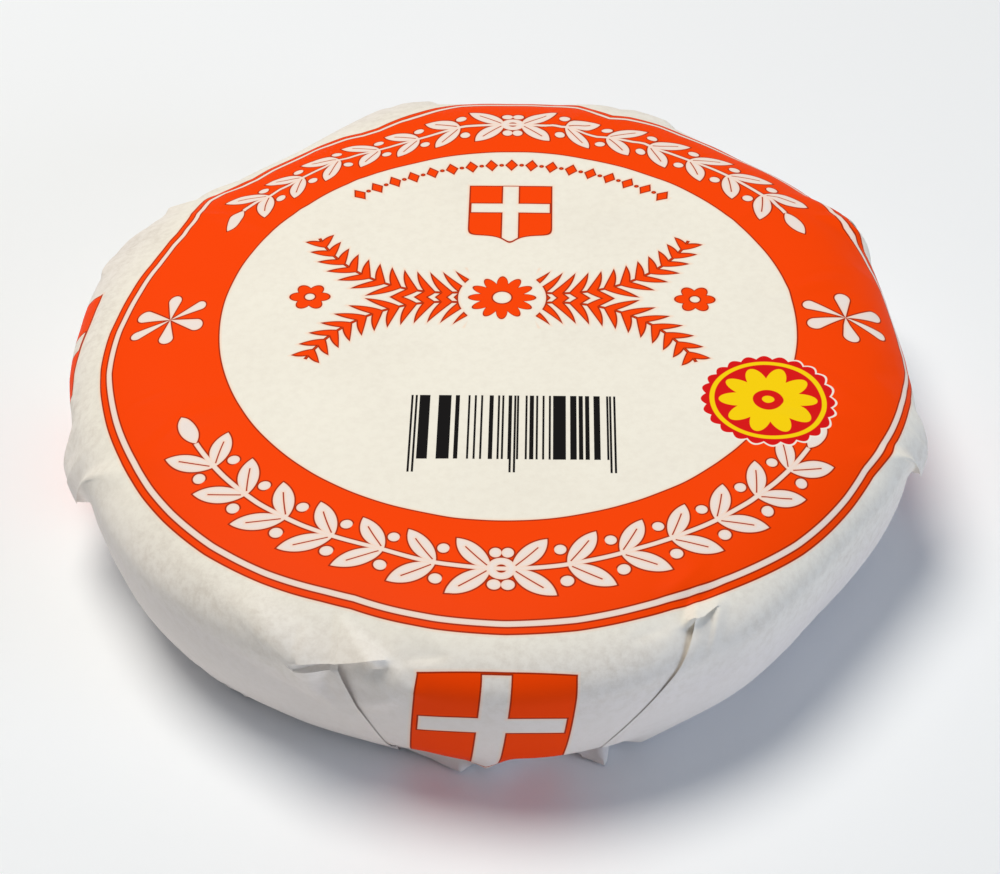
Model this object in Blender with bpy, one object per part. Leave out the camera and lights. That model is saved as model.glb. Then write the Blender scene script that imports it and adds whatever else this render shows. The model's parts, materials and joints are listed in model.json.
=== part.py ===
"""A whole soft cheese wheel, shut in its pleated paper wrap, as one closed solid.

The origin is on the base under the wheel's middle. +Z is up and -Y is the side that carries the flag.
The wrap is one sheet of rows and columns. Its rows run from the middle of the top, over the rim, down
the wall and under to the middle of the base. Its columns follow the folded edges of the pleats. Sizes
are in millimetres and angles in radians, where nothing else is said, and the mesh is made in metres.
"""

from typing import NamedTuple

import bpy
import numpy as np

MM = 0.001
FULL_TURN = 2 * np.pi
HEIGHT = 32.0
CROWN = 0.3

RIM_INSET = 18.0
RIM_DROP = 9.0
FOOT_INSET = 11.5
FOOT_RISE = 22.0
ARC_STEPS = 60
LEAN_FROM = 0.1
LEAN_TO = 0.85

CREST_TOP = 9.0
CREST_LINE = 14.5
CREST_FOOT = 36.0
CREST_SHARP = 1.2
CREST_SOFT = 8.0
KEEL_PLACE = 0.18
KEEL_SHARE = 0.2
TIP_SHARE = 0.5
SOFT_TIP_SHARE = 0.15
TIP_FALL = 1.0
CRISP_FALL = 0.45
SOFT_FALL = 1.4
RIDGE_START = 1.6
CHORD_SHARE = 0.8
NOTCH = 0.45
NOTCH_PLACE = 0.4
NOTCH_WIDTH = 4.0
VALLEY = 0.15
VALLEY_WIDTH = 9.0
SOFT_OPENING = 0.35

LIFT = 0.5
LIFT_SPREAD = 9.0
LIFT_BELOW_CREST = (0, 6, 20)
LIFT_SHARES = (1.0, 0.55, 0.3)
DIP = 0.9
DIP_SPREAD = 5.0
DIP_BELOW_CREST = (0, 5, 10, 24)
DIP_SHARES = (1.0, 0.4, 0.08, 0.0)
BASE_LAYER = 0.8
STEP_WIDTH = 0.6

FOOT_CREASE = 43.0
FOOT_EDGE = 47.3
FLAT_MIDDLE_RADIUS = 12.0

TOP_ROWS = 4
UPPER_ROWS = 9
WALL_ROWS = 8
FOOT_ROWS = (3, 2, 3)
BASE_ROWS = 5
COLUMN_PITCH = 3.0
EDGE_CROWDING = 0.6

PAPER_COLOUR = (0.80, 0.77, 0.72, 1.0)
PAPER_ROUGHNESS = 0.55


class Pleat(NamedTuple):
    """One fold of the wrap. Angles are in degrees round +Z from +X, lengths in millimetres.

    rim: where the fold starts on the rim. lean: how far its edge has moved round at the base. over: 1
    where the panel on the side of greater angles lies on top, -1 where the other one does. corner: the
    wheel's radius at the fold. middle: the radius in the middle of the panel that follows. swirl: how
    far the edge turns on under the base. drop: how far below the rim's start the crest hangs, along the
    paper. push: how far the crest stands out. tip: its reach past the edge. ridge: its reach along the
    panel. crisp: the share of the ridge whose lower edge is sharp, or 0 where all of the crest is soft.
    top: where the facet over the crest begins, as if the crest hung at its common line.
    """

    rim: float
    lean: float
    over: int
    corner: float
    middle: float
    swirl: float
    drop: float
    push: float
    tip: float
    ridge: float
    crisp: float
    top: float = CREST_TOP


PLEATS = (
    Pleat(31, 11, 1, 71.2, 70.7, 24, 17.0, 1.6, 3, 10, 0),
    Pleat(72, 13, 1, 73.4, 72.2, 30, 19.0, 1.2, 6, 14, 0),
    Pleat(106, 10, 1, 73.0, 67.5, 34, 18.0, 0.8, 5, 12, 0),
    Pleat(142, 8, -1, 67.8, 70.1, 30, 18.5, 1.0, 5, 10, 0.3),
    Pleat(158, 7, -1, 70.4, 69.0, 28, 19.5, 0.9, 6, 11, 0.3),
    Pleat(201, 8, 1, 68.4, 70.7, 24, 27.5, 2.7, 3, 15, 0, 10.5),
    Pleat(252, 6.6, -1, 71.3, 73.7, 5, 20.2, 2.8, 5.8, 34, 0.02),
    Pleat(299, 16, 1, 71.9, 68.4, 8, 15.2, 1.6, 0.4, 7.0, 0.5),
    Pleat(344, 12, -1, 69.6, 67.6, 24, 26.0, 2.4, 1, 16, 0, 10.5),
)


class FootTip(NamedTuple):
    """A corner of folded-under paper that shows past the wall's foot: its angle in degrees, its reach in
    millimetres, and its width to the sides of smaller and greater angles."""

    angle: float
    reach: float
    before: float
    after: float


FOOT_TIPS = (
    FootTip(38, 4.0, 9, 5),
    FootTip(101, 4.5, 10, 4),
    FootTip(155, 4.0, 4, 9),
    FootTip(235, 2.2, 11, 2),
    FootTip(267.2, 4.2, 20, 3),
    FootTip(285.7, 7.1, 12, 2.6),
)
FOOT_CUTS = (
    (246, 0), (256, 0.6), (263, 1.8), (268, 1.0), (270.5, -0.6), (274, 2.6), (278, 4.6), (284, 4.2),
    (287, 2.4), (290.5, 0), (297, 1.4), (304, 2.6), (314, 0),
)
CUT_ROWS = (36, 43, 47, 51)
CUT_SHARES = (0, 1.0, 0.9, 0.4)


def smooth(low, high, x):
    """0 below low, 1 above high, and the cubic 3q^2 - 2q^3 between them."""
    q = np.clip((x - low) / (high - low), 0, 1)
    return q * q * (3 - 2 * q)


def soft_min(a, b, width):
    """The smaller of a and b, rounded where they are within width of each other by width h^2 / 4."""
    h = np.maximum(width - np.abs(a - b), 0) / width
    return np.minimum(a, b) - h * h * width / 4


def turned(angle):
    """The angle brought between -pi and pi."""
    return (angle + np.pi) % FULL_TURN - np.pi


def outline_radius(angle):
    """The wheel's radius at an angle: a closed cubic through each fold and each panel's middle."""
    folds = np.array([pleat.rim for pleat in PLEATS], float)
    widths = np.append(folds[1:], folds[0] + 360) - folds
    knots = np.column_stack([folds, folds + widths / 2]).ravel()
    radii = np.array([[pleat.corner, pleat.middle] for pleat in PLEATS]).ravel()
    knots = np.concatenate([knots[-2:] - 360, knots, knots[:2] + 360])
    radii = np.concatenate([radii[-2:], radii, radii[:2]])
    slopes = np.gradient(radii, knots)
    degrees = (np.degrees(angle) - folds[0]) % 360 + folds[0]
    span = np.clip(np.searchsorted(knots, degrees, side="right") - 1, 0, len(knots) - 2)
    width = knots[span + 1] - knots[span]
    q = (degrees - knots[span]) / width
    start = radii[span] * (1 + 2 * q) * (1 - q) ** 2 + slopes[span] * width * q * (1 - q) ** 2
    end = radii[span + 1] * q * q * (3 - 2 * q) - slopes[span + 1] * width * q * q * (1 - q)
    return start + end


class Side(NamedTuple):
    """The wall's section: how far in from the outline and how high it is, by arc length from the rim."""

    inset: np.ndarray
    height: np.ndarray
    length: np.ndarray

    def at(self, arc):
        return np.interp(arc, self.length, self.inset), np.interp(arc, self.length, self.height)


def side_profile():
    """The wall's section: a quarter ellipse, a straight, and another quarter ellipse."""
    turn = np.linspace(0, np.pi / 2, ARC_STEPS)
    inset = np.concatenate([RIM_INSET * (1 - np.sin(turn)), FOOT_INSET * (1 - np.cos(turn))])
    height = np.concatenate([HEIGHT - RIM_DROP * (1 - np.cos(turn)), FOOT_RISE * (1 - np.sin(turn))])
    length = np.concatenate([[0], np.cumsum(np.hypot(np.diff(inset), np.diff(height)))])
    return Side(inset, height, length)


def wrap_rows(length):
    """Each row's place: its share of the top's radius, its arc length down the side, its base share."""
    top = np.linspace(0, 1, TOP_ROWS + 1)[1:]
    upper = np.linspace(0, CREST_LINE, UPPER_ROWS + 1)[1:]
    wall = np.linspace(CREST_LINE + CREST_SHARP + 0.2, CREST_FOOT, WALL_ROWS)
    ends = (CREST_FOOT, FOOT_CREASE, FOOT_EDGE, length)
    foot = [np.linspace(a, b, n + 1)[1:] for a, b, n in zip(ends, ends[1:], FOOT_ROWS)]
    side = np.concatenate([upper, wall, *foot])
    base = np.linspace(1, 0, BASE_ROWS + 1)[1:]
    top_share = np.concatenate([top, np.ones(len(side) + len(base))])
    arc = np.concatenate([np.zeros(len(top)), side, np.full(len(base), length)])
    base_share = np.concatenate([np.ones(len(top) + len(side)), base])
    return top_share, arc, base_share


class Columns(NamedTuple):
    """The sheet's columns: each column's angle at each row, the pleat it is near, whether it lies on the
    sheet on top there, and each pleat's folded edge at each row."""

    angle: np.ndarray
    pleat: np.ndarray
    upper: np.ndarray
    edges: list


def sheet_columns(lean, swirl):
    """Spreads columns over each panel, closer together near its folds. A panel that dives under its
    neighbour stops a step's width before the edge."""
    count = len(PLEATS)
    ridges = [pleat.ridge for pleat in PLEATS]
    tips = [2 * pleat.tip + 6 for pleat in PLEATS]
    edges = [np.radians(p.rim - p.over * (p.lean * lean + p.swirl * swirl)) for p in PLEATS]
    edges.append(edges[0] + FULL_TURN)
    angles, near, uppers = [], [], []
    for panel in range(count):
        following = (panel + 1) % count
        first, last = PLEATS[panel], PLEATS[following]
        low = edges[panel] + (STEP_WIDTH / first.corner if first.over < 0 else 0)
        high = edges[panel + 1] - (STEP_WIDTH / last.corner if last.over > 0 else 0)
        width = np.radians((last.rim - first.rim) % 360) * first.corner
        even = np.linspace(0, 1, max(6, round(width / COLUMN_PITCH)))
        share = even * (1 - EDGE_CROWDING) + (1 - np.cos(np.pi * even)) / 2 * EDGE_CROWDING
        before = ridges[panel] if first.over > 0 else tips[panel]
        after = ridges[following] if last.over < 0 else tips[following]
        late = share > before / (before + after)
        angles.append(low[:, None] + (high - low)[:, None] * share)
        near.append(np.where(late, following, panel))
        uppers.append(np.where(late, last.over < 0, first.over > 0))
    return Columns(np.concatenate(angles, axis=1), np.concatenate(near), np.concatenate(uppers), edges)


def crest(pleat, past, nominal, side):
    """Where a pleat's crest puts the sheet: the arc length of each point, how far it stands out, its
    shift in and up, and how far it is past the crest line.

    past is the distance from the folded edge, over the upper sheet if positive. The crest line hangs at
    the pleat's drop a little way along the upper panel, and eases to the crest's common line at the
    ridge's end and past the tip. Above it the paper is pulled straighter, towards a chord of the rounded
    rim, and it stands out in proportion to the arc length. A ridge from the chord's start to the tip
    bounds that facet, with a shallow valley past it, and a notch runs down to the folded edge. Below the
    line the sheet turns sharply back under near the fold and ever more softly along the ridge.
    """
    keel = KEEL_PLACE * pleat.ridge
    hang = pleat.drop - CREST_LINE
    beyond = np.clip((past - keel) / (pleat.ridge - keel), 0, 1)
    places = [-2 * pleat.tip - 6, -pleat.tip, 0, keel]
    tip_share = TIP_SHARE if pleat.crisp else SOFT_TIP_SHARE
    hangs = [0, hang * (1 - tip_share), hang * (1 - KEEL_SHARE), hang]
    eased = hang * (1 - beyond * (2 - beyond))
    line = CREST_LINE + np.where(past > keel, eased, np.interp(past, places, hangs))
    hat = np.interp(nominal, [0, CREST_LINE, CREST_FOOT], [0, 1, 0])
    placed = nominal + (line - CREST_LINE) * hat
    facet = np.clip((nominal - pleat.top) / (CREST_LINE - pleat.top), 0, None)
    grown = np.minimum(facet, 1)
    ridge_at = RIDGE_START - (RIDGE_START + pleat.tip) * grown
    notch_at = RIDGE_START - (RIDGE_START - NOTCH_PLACE) * grown
    fall = TIP_FALL + pleat.push * (CRISP_FALL if pleat.crisp else SOFT_FALL)
    reach = np.clip(1 + (past - ridge_at) / fall, 0, 1)
    if not pleat.crisp:
        reach = smooth(0, 1, reach)
    along = np.clip(past / pleat.ridge, 0, 1)
    notch = np.clip((past - ridge_at) / np.maximum(notch_at - ridge_at, 0.6), 0, 1)
    notch = notch - np.clip((past - notch_at) / NOTCH_WIDTH, 0, 1)
    notch = notch * (min(pleat.tip / 4, 1) if pleat.crisp else 0)
    beside = np.clip((ridge_at - fall - past) / VALLEY_WIDTH, 0, 1)
    lateral = reach * (1 - along) - NOTCH * notch - VALLEY * 4 * beside * (1 - beside)
    softness = 1.0
    if pleat.crisp:
        softness = np.where(past > 0, smooth(pleat.crisp, pleat.crisp + 0.22, along), 0)
    below = 1 - (placed - line) / (CREST_SHARP + CREST_SOFT * softness)
    shape = np.maximum(0, soft_min(facet, below, 0.02 + 0.4 * softness))
    passed = smooth(0, 1, (placed - line) / CREST_SHARP)
    flatness = CHORD_SHARE * reach * (1 - smooth(0.4, 1, along)) * ((facet > 0) & (facet < 1))
    rounded, started, ended = side.at(placed), side.at(line * pleat.top / CREST_LINE), side.at(line)
    shift = [(a + (b - a) * facet - here) * flatness for a, b, here in zip(started, ended, rounded)]
    return placed, pleat.push * lateral * shape, shift, passed


def fold_lift(below_crest, past):
    """How far the upper sheet stands off beside its edge: a square fall over the lift's spread, from its
    full size at the crest to a share of it lower down."""
    near = np.maximum(0, 1 - np.abs(past) / LIFT_SPREAD) ** 2
    return LIFT * near * np.interp(below_crest, LIFT_BELOW_CREST, LIFT_SHARES)


def fold_dip(below_crest, past):
    """How far the lower sheet sinks in beside the upper one's edge: a square fall over the dip's spread,
    deepest just under the crest."""
    near = np.maximum(0, 1 - np.abs(past) / DIP_SPREAD) ** 2
    return DIP * near * np.interp(below_crest, DIP_BELOW_CREST, DIP_SHARES)


def base_fold(past):
    """How far the folded sheet lies in under the base beside an upper sheet's edge."""
    return BASE_LAYER * np.maximum(0, 1 - np.abs(past) / LIFT_SPREAD) ** 2


def foot_tips(angle, radius):
    """How far the folded paper shows past the wall's foot: a lopsided triangle at each place."""
    total = np.zeros_like(angle)
    for tip in FOOT_TIPS:
        away = turned(angle - np.radians(tip.angle)) * radius
        side = np.where(away < 0, -away / tip.before, away / tip.after)
        total += tip.reach * np.maximum(0, 1 - side)
    return total


def sheet_points():
    """The sheet's points, row by row, round the place where the folds' angles are measured.

    A point starts on the plain form: the flat top, the side's section at its arc length, or the base. It
    then moves out along that form's normal by the crest and the lifted fold, and at the foot by the tips
    and the cuts between them.
    """
    side = side_profile()
    end = side.length[-1]
    top_share, arc, base_share = wrap_rows(end)
    columns = sheet_columns(smooth(LEAN_FROM, LEAN_TO, arc / end), 1 - base_share)
    angle = columns.angle
    radius = outline_radius(angle)
    nominal = np.repeat(arc[:, None], angle.shape[1], axis=1)
    under = base_share[:, None] < 1
    on_side = (nominal > 0) & ~under
    base_part = smooth(end * 0.7, end, nominal)

    placed = nominal.copy()
    out = np.zeros_like(angle)
    shift_in = np.zeros_like(angle)
    shift_up = np.zeros_like(angle)
    for index, pleat in enumerate(PLEATS):
        opening = 1 if pleat.crisp else SOFT_OPENING
        mine = np.flatnonzero(columns.pleat == index)
        upper = columns.upper[mine]
        past = turned(angle[:, mine] - columns.edges[index][:, None]) * radius[:, mine] * pleat.over
        past = np.where(upper, np.maximum(past, 0), np.minimum(past, 0))
        own_arc, own_out, own_shift, passed = crest(pleat, past, nominal[:, mine], side)
        shown = passed * opening * (1 - base_part[:, mine])
        raised = fold_lift(own_arc - pleat.drop, past) * shown
        sunk = fold_dip(own_arc - pleat.drop, past) * shown + base_fold(past) * base_part[:, mine]
        placed[:, mine] = own_arc
        out[:, mine] = own_out + np.where(upper, raised, -sunk)
        shift_in[:, mine], shift_up[:, mine] = own_shift
    placed = np.where(on_side, placed, nominal)
    out *= smooth(0, 1, base_share[:, None] * 1.5) * (nominal > 0)

    step = end / ARC_STEPS / 8
    (in_after, up_after), (in_before, up_before) = side.at(placed + step), side.at(placed - step)
    slope = np.maximum(np.hypot(in_after - in_before, up_after - up_before), 1e-9)
    level_part = (nominal == 0) | under
    out_way = np.where(level_part, 0, (up_before - up_after) / slope)
    up_way = np.where(under, -1, np.where(level_part, 1, (in_before - in_after) / slope))

    top_radius = (radius - RIM_INSET) * top_share[:, None]
    base_radius = FLAT_MIDDLE_RADIUS + (radius - FOOT_INSET - FLAT_MIDDLE_RADIUS) * base_share[:, None]
    inset, height = side.at(placed)
    wall_radius = radius - inset - shift_in * on_side
    reach = np.where(under, base_radius, np.where(nominal == 0, top_radius, wall_radius))
    level = np.where(under, 0, height + shift_up * on_side)
    level = level - CROWN * top_share[:, None] ** 2 * level / HEIGHT
    at_foot = np.interp(nominal, [FOOT_CREASE, FOOT_EDGE, end], [0, 1, 0]) * on_side
    cut = np.interp(np.degrees(angle) % 360, *np.array(FOOT_CUTS).T)
    cut = cut * np.interp(nominal, CUT_ROWS, CUT_SHARES) * base_share[:, None] ** 2
    reach = reach + out * out_way + foot_tips(angle, radius) * at_foot - cut
    level = np.maximum(0, level + out * up_way)
    return np.stack([reach * np.cos(angle), reach * np.sin(angle), level], axis=-1)


def box_middle(points):
    """The middle of the points' box, at height 0."""
    return (points.min(axis=(0, 1)) + points.max(axis=(0, 1))) / 2 * (1, 1, 0)


def closed_faces(rows, columns):
    """Quads between neighbouring rows, with a fan of triangles round the middle of top and base."""
    index = np.arange(rows * columns).reshape(rows, columns)
    after = np.roll(index, -1, axis=1)
    quads = np.stack([index[:-1], index[1:], after[1:], after[:-1]], axis=-1).reshape(-1, 4)
    top_middle, base_middle = rows * columns, rows * columns + 1
    top = [(top_middle, a, b) for a, b in zip(index[0], after[0])]
    base = [(base_middle, b, a) for a, b in zip(index[-1], after[-1])]
    return quads.tolist() + top + base


def paper_material():
    material = bpy.data.materials.new("wrap_paper")
    material.use_nodes = True
    shader = material.node_tree.nodes["Principled BSDF"]
    shader.inputs["Base Color"].default_value = PAPER_COLOUR
    shader.inputs["Roughness"].default_value = PAPER_ROUGHNESS
    shader.inputs["Metallic"].default_value = 0.0
    return material


def add_wrapped_wheel():
    points = sheet_points()
    middle = box_middle(points)
    rows, columns = points.shape[:2]
    middles = np.array([[0, 0, HEIGHT], [0, 0, 0]])
    vertices = np.concatenate([points.reshape(-1, 3), middles]) - middle
    mesh = bpy.data.meshes.new("wrapped_wheel")
    mesh.from_pydata((vertices * MM).tolist(), [], closed_faces(rows, columns))
    mesh.validate()
    mesh.shade_smooth()
    mesh.materials.append(paper_material())
    bpy.context.scene.collection.objects.link(bpy.data.objects.new("wrapped_wheel", mesh))


def main():
    for item in list(bpy.data.objects):
        bpy.data.objects.remove(item, do_unlink=True)
    add_wrapped_wheel()


main()
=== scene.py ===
"""A whole soft cheese shut in its pleated paper wrap, with the wrap's print, in a plain studio.

The wrap is one sheet of rows and columns. Its rows run from the middle of the top, over the rim, down the
wall and under to the middle of the base. Its columns follow the folded edges of the pleats. Lengths in the
functions below are millimetres and angles are radians, where nothing else is said.
"""

import json
import math
from functools import partial, reduce
from typing import NamedTuple

import bpy
import numpy as np
from bpy.props import FloatProperty, FloatVectorProperty, IntProperty, PointerProperty
from mathutils import Matrix, Vector

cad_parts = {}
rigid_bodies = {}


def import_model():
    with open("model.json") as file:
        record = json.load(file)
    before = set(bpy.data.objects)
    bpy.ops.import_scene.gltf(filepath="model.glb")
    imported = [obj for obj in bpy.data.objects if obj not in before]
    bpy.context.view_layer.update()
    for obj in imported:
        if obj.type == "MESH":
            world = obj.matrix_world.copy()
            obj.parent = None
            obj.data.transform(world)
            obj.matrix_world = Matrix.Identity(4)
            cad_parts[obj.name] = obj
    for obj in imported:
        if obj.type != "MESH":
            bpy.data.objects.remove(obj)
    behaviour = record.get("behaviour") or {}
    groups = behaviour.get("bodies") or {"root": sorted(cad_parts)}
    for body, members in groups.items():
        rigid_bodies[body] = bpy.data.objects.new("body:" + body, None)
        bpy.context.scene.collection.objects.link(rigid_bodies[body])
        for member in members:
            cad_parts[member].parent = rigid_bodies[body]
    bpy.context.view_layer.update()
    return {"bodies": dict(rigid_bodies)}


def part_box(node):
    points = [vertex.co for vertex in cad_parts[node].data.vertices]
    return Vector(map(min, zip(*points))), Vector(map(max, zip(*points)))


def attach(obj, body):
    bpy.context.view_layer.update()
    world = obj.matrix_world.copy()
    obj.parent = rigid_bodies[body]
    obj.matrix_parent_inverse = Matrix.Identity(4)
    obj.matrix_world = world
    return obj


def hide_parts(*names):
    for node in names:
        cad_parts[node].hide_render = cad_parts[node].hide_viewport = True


bl_info = {
    "name": "Wrapped Cheese",
    "version": (1, 0, 0),
    "blender": (4, 5, 0),
    "location": "3D View > Sidebar > Wrapped Cheese",
    "description": "Makes a soft cheese in its pleated, printed paper wrap",
    "category": "Object",
}

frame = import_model()
CAD_NODE = "wrapped_wheel"
BODY = next(iter(frame["bodies"]))

MM = 0.001
FULL_TURN = 2 * np.pi
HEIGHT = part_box(CAD_NODE)[1].z / MM
CROWN = 0.3
WHEEL_CENTRE = np.array([-0.380, 0.523])

RIM_INSET = 18.0
RIM_DROP = 9.0
FOOT_INSET = 11.5
FOOT_RISE = 22.0
ARC_STEPS = 60
LEANING = (0.1, 0.85)

CREST_TOP = 9.0
CREST_LINE = 14.5
CREST_FOOT = 36.0
CREST_SHARP = 1.2
WALL_START = CREST_LINE + CREST_SHARP + 0.2
CREST_SOFT = 8.0
CRISP_ROUNDING = 0.02
SOFT_ROUNDING = 0.4
CRISP_END = 0.22
KEEL_PLACE = 0.18
KEEL_SHARE = 0.2
TIP_SHARE = 0.5
SOFT_TIP_SHARE = 0.15
TIP_PAST = 6.0
TIP_FALL = 1.0
CRISP_FALL = 0.45
SOFT_FALL = 1.4
RIDGE_START = 1.6
CHORD_SHARE = 0.8
CHORD_FADE = (0.4, 1)
NOTCH = 0.45
NOTCH_PLACE = 0.4
NOTCH_WIDTH = 4.0
NOTCH_LEAST = 0.6
NOTCH_TIP = 4.0
VALLEY = 0.15
VALLEY_WIDTH = 9.0
SOFT_OPENING = 0.35
LIP_END = 2.4
LIP_GROWTH = 0.6
# Each lip row's drop below the crest line, its drop once hooked, and how far it then stands out.
LIP = ((0.25, -0.35, 0.80), (0.50, -0.90, 0.40), (0.75, -0.30, 0.12), (1.00, 0.40, 0.00))

LAYER_SPREAD = 9.0
EDGE_ROLL = 1.6
EDGE_ROLLED = 0.5
LIFT_BELOW_CREST = (0, 6, 20)
LIFT_SHARES = (1.0, 0.55, 0.3)
DIP_SPREAD = 5.0
DIP_BELOW_CREST = (0, 5, 10, 24)
DIP_SHARES = (1.0, 0.4, 0.08, 0.0)
DIVE = (2.2, 1.6, 0.6)
DIVE_GAP = (0.3, 0.2, 0.1)
FOLD_LAYERS = (0.35, 0.75)
OPENING = 3.0

FOOT_CREASE = 43.0
FOOT_EDGE = 47.3
FLAT_MIDDLE_RADIUS = 12.0
RIM_WRAP = 18.0
BASE_FROM = 0.7
BASE_FADE = 2 / 3
BASE_CALM = 0.8
CREASED = (-28, -6)
WAVED = (-40, 4)
WAVES = ((9, 34, 0.40), (14, 23, 0.30), (23, 17, 0.22), (37, 12, 0.12))
CRIMPED = (0.72, 0.95)
CRIMP_COUNT = 66
CRIMP_GAPS = (4, 9)
CRIMP_SIZES = (0.4, 1)
CRIMP_POWER = 0.8
NORMAL_STEPS = 8
SHARP_ANGLE = 50

TOP_ROWS = 20
UPPER_ROWS = 24
WALL_ROWS = 24
FOOT_ROWS = 24
BASE_ROWS = 22
COLUMN_PITCH = 0.64
EDGE_CROWDING = 0.6


class Pleat(NamedTuple):
    """One fold of the wrap. Angles are in degrees round +Z from +X, lengths in millimetres.

    rim: where the fold starts on the rim. lean: how far its edge has moved round at the base. over: 1
    where the panel on the side of greater angles lies on top, -1 where the other one does. corner: the
    wheel's radius at the fold. middle: the radius in the middle of the panel that follows. swirl: how
    far the edge turns on under the base. drop: how far below the rim's start the crest hangs, along the
    paper. push: how far the crest stands out. tip: its reach past the edge. ridge: its reach along the
    panel. crisp: the share of the ridge whose lower edge is sharp, or 0 where all of the crest is soft.
    top: where the facet over the crest begins, as if the crest hung at its common line.
    """

    rim: float
    lean: float
    over: int
    corner: float
    middle: float
    swirl: float
    drop: float
    push: float
    tip: float
    ridge: float
    crisp: float
    top: float = CREST_TOP


PLEATS = (
    Pleat(31, 11, 1, 71.2, 70.7, 24, 17.0, 1.6, 3, 10, 0),
    Pleat(72, 13, 1, 73.4, 72.2, 30, 19.0, 1.2, 6, 14, 0),
    Pleat(106, 10, 1, 73.0, 67.5, 34, 18.0, 0.8, 5, 12, 0),
    Pleat(142, 8, -1, 67.8, 70.1, 30, 18.5, 1.0, 5, 10, 0.3),
    Pleat(158, 7, -1, 70.4, 69.0, 28, 19.5, 0.9, 6, 11, 0.3),
    Pleat(201, 8, 1, 68.4, 70.7, 24, 27.5, 2.7, 3, 15, 0, 10.5),
    Pleat(252, 6.6, -1, 71.3, 73.7, 5, 20.2, 2.8, 5.8, 34, 0.02),
    Pleat(299, 16, 1, 71.9, 68.4, 8, 15.2, 1.6, 0.4, 7.0, 0.5),
    Pleat(344, 12, -1, 69.6, 67.6, 24, 26.0, 2.4, 1, 16, 0, 10.5),
)
RIMS = np.array([pleat.rim for pleat in PLEATS], float)
MIDDLES = RIMS + (np.roll(RIMS, -1) - RIMS) % 360 / 2

# Each corner's angle in degrees, its reach, and its width to the sides of smaller and greater angles.
FOOT_TIPS = (
    (38, 4.0, 9, 5), (101, 4.5, 10, 4), (155, 4.0, 4, 9),
    (235, 2.2, 11, 2), (267.2, 4.2, 20, 3), (285.7, 7.1, 12, 2.6),
)
# Each angle in degrees, and how far the foot is cut back or pulled out there.
FOOT_CUTS = (
    (246, 0), (256, 0.6), (263, 1.8), (268, 1.0), (270.5, -0.6), (274, 2.6), (278, 4.6), (284, 4.2),
    (287, 2.4), (290.5, 0), (297, 1.4), (304, 2.6), (314, 0),
)
CUT_ROWS = (36, 43, 47, 51)
CUT_SHARES = (0, 1.0, 0.9, 0.4)
CALM_FOOT = 265
CALM_ENDS = (27, 33)

# Each angle in degrees, and how far the print's rim is drawn outwards there.
PULLS = (
    (2, 0.2), (12, -0.4), (20, -0.2), (24, 0.5), (27, 1.2), (30, 1.1), (34, 0.4), (45, 1.2), (60, 2.9),
    (64, 2.5), (69, 3.6), (71.5, 5.0), (74, 3.8), (77.5, 1.4), (90, 1.3), (96, 1.4), (100, 3.2), (103, 4.8),
    (107, 6.6), (111, 8.4), (114, 8.3), (117, 6.9), (121, 6.2), (131, 5.5), (135, 6.2), (138, 5.5),
    (141, 3.8), (144, 3.4), (150, 5.7), (155, 6.6), (164, 6.0), (171, 4.8), (180, 2.9), (186, 2.0),
    (190, 1.4), (200, 0.9), (210, 0.5), (216, 0), (222, -0.3), (231, -0.5), (240, -0.1), (249, 0.7),
    (253, 0.9), (258, 0.5), (264, 0), (273, -0.4), (282, -0.3), (288, 0.1), (294, 0.55), (303, 0.8),
    (315, 0.85), (327, 1.5), (333, 2.0), (338, 1.7), (342, 1.35), (348, 1.0), (352, 0.4), (357, -0.6),
)
PULL_STARTS = (45, 62)
PULL_ENDS = (68, 80)
PULL_KEPT = 0.3


def srgb(red, green, blue):
    """An 8-bit screen colour as the linear colour that Blender's sockets take, with full alpha."""
    parts = [part / 255 for part in (red, green, blue)]
    linear = [p / 12.92 if p <= 0.04045 else ((p + 0.055) / 1.055) ** 2.4 for p in parts]
    return (*linear, 1.0)


def length_prop(name, description, millimetres):
    return FloatProperty(name=name, description=description, default=millimetres * MM, unit="LENGTH")


def colour_prop(name, description, colour):
    return FloatVectorProperty(
        name=name, description=description, default=colour, subtype="COLOR", size=4, min=0, max=1
    )


class WrapShape(bpy.types.PropertyGroup):
    """How the paper is folded and creased"""

    fold_lift: length_prop("Fold lift", "How far a fold's upper sheet stands off at its top", 0.5)
    fold_dip: length_prop("Fold dip", "How far the sheet under a fold's top sinks in", 0.9)
    base_layer: length_prop("Base layer", "Depth of the folded layers under the base", 0.8)
    slack: length_prop("Slack", "Height of the paper's wide, soft waves", 0.15)
    crease_height: length_prop("Crease height", "Height of the sharpest small creases", 0.16)
    crease_count: IntProperty(name="Creases", description="Small creases at each pleat", default=6, min=0)
    crimp: length_prop("Crimp", "Depth of the crimps along the wall's foot", 0.5)
    seed: IntProperty(name="Seed", description="Draws other creases and crimps", default=11)


class LabelSizes(bpy.types.PropertyGroup):
    """Sizes of the print"""

    centre_x: length_prop("Label centre X", "The print's centre on the wheel, across", 2.7)
    centre_y: length_prop("Label centre Y", "The print's centre on the wheel, in depth", 1.6)
    middle_radius: length_prop("White middle", "Radius of the white round field", 46.6)
    band_radius: length_prop("Band", "Outer radius of the broad band", 65.6)
    line_radius: length_prop("Cream line", "Outer radius of the thin cream line", 66.5)
    ring_radius: length_prop("Ring", "Outer radius of the whole printed ring", 67.8)
    flag_top: length_prop("Flag place", "From the print's centre to a flag's top edge", 73.3)
    flag_width: length_prop("Flag width", "Width of a flag on the wall", 23.2)
    flag_height: length_prop("Flag height", "Height of a flag along the paper", 24.5)


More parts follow.
